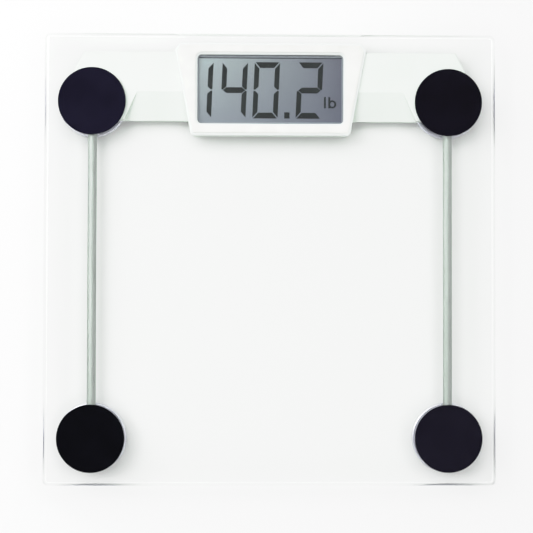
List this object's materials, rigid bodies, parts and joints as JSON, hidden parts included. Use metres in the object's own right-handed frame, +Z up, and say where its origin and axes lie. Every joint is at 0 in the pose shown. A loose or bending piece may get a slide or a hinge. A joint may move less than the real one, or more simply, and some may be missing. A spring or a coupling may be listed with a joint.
{
  "type": "bathroom scale",
  "caption": "Square glass bathroom scale with a display bar, round load-cell feet, steel tie tubes, a sliding battery door and a unit button.",
  "frame": {"origin": "on the floor, under the middle of the glass", "axes": "+X to the right, +Y from the user's edge to the display edge, +Z up"},
  "size_m": [0.3, 0.3, 0.025],
  "materials": {
    "tempered_glass": "clear, polished edge",
    "black_foam": "matte",
    "black_abs": "satin",
    "silver_abs": "satin silver lacquer",
    "cell_steel": "stamped",
    "silicone": "matte",
    "plated_cup": "satin plated",
    "pad_rubber": "matte",
    "tube_steel": "drawn",
    "lead_insulation": "satin",
    "white_abs": "satin",
    "white_abs_gloss": "semi-gloss",
    "white_foam": "matte",
    "zinc_steel": "zinc plated",
    "polariser_film": "satin",
    "display_glass": "clear",
    "segment_ink": "satin",
    "elastomer": "matte",
    "board_laminate": "satin",
    "black_epoxy": "gloss",
    "board_part_ceramic": "matte",
    "cell_can": "bright",
    "spring_steel": "nickel plated",
    "grey_abs": "satin"
  },
  "bodies": {
    "platform": {"bezel_tape": "white_foam", "board_parts": "board_part_ceramic", "bottom_cover": "white_abs", "chip_dome": "black_epoxy", "circuit_board": "board_laminate", "coin_cell": "cell_can", "contact_strip": "elastomer", "display_bezel": "white_abs_gloss", "front_left_foot_seat": "silver_abs", "front_left_foot_tape": "black_foam", "front_left_gauge_coating": "silicone", "front_left_leads": "lead_insulation", "front_left_load_cell": "cell_steel", "front_right_foot_seat": "silver_abs", "front_right_foot_tape": "black_foam", "front_right_gauge_coating": "silicone", "front_right_leads": "lead_insulation", "front_right_load_cell": "cell_steel", "glass_platform": "tempered_glass", "housing_screws": "zinc_steel", "housing_top": "white_abs", "lcd_film": "polariser_film", "lcd_frame": "white_abs", "lcd_front_plate": "display_glass", "lcd_rear_plate": "display_glass", "lcd_segments": "segment_ink", "left_tie_tube": "tube_steel", "negative_contact": "spring_steel", "positive_contact": "spring_steel", "rear_left_foot_seat": "silver_abs", "rear_left_foot_tape": "black_foam", "rear_left_gauge_coating": "silicone", "rear_left_leads": "lead_insulation", "rear_left_load_cell": "cell_steel", "rear_right_foot_seat": "silver_abs", "rear_right_foot_tape": "black_foam", "rear_right_gauge_coating": "silicone", "rear_right_leads": "lead_insulation", "rear_right_load_cell": "cell_steel", "right_tie_tube": "tube_steel", "unit_switch": "black_abs"},
    "battery_door": {"battery_door": "white_abs"},
    "front_left_foot": {"front_left_foot_cup": "plated_cup", "front_left_foot_pad": "pad_rubber"},
    "front_right_foot": {"front_right_foot_cup": "plated_cup", "front_right_foot_pad": "pad_rubber"},
    "rear_left_foot": {"rear_left_foot_cup": "plated_cup", "rear_left_foot_pad": "pad_rubber"},
    "rear_right_foot": {"rear_right_foot_cup": "plated_cup", "rear_right_foot_pad": "pad_rubber"},
    "unit_button": {"unit_button": "grey_abs"}
  },
  "joints": [
    {"name": "front_left_foot_press", "type": "slide", "parent": "platform", "child": "front_left_foot", "axis": [0, 0, 1], "range_m": [0, 0.0006], "stiffness_N_per_m": 20000, "springref_m": -0.0003},
    {"name": "front_right_foot_press", "type": "slide", "parent": "platform", "child": "front_right_foot", "axis": [0, 0, 1], "range_m": [0, 0.0006], "stiffness_N_per_m": 20000, "springref_m": -0.0003},
    {"name": "rear_left_foot_press", "type": "slide", "parent": "platform", "child": "rear_left_foot", "axis": [0, 0, 1], "range_m": [0, 0.0006], "stiffness_N_per_m": 20000, "springref_m": -0.0003},
    {"name": "rear_right_foot_press", "type": "slide", "parent": "platform", "child": "rear_right_foot", "axis": [0, 0, 1], "range_m": [0, 0.0006], "stiffness_N_per_m": 20000, "springref_m": -0.0003},
    {"name": "battery_door_slide", "type": "slide", "parent": "platform", "child": "battery_door", "axis": [0, -1, 0], "range_m": [0, 0.024]},
    {"name": "unit_button_press", "type": "slide", "parent": "platform", "child": "unit_button", "axis": [0, 0, 1], "range_m": [0, 0.0005], "stiffness_N_per_m": 1500, "springref_m": -0.0005}
  ]
}
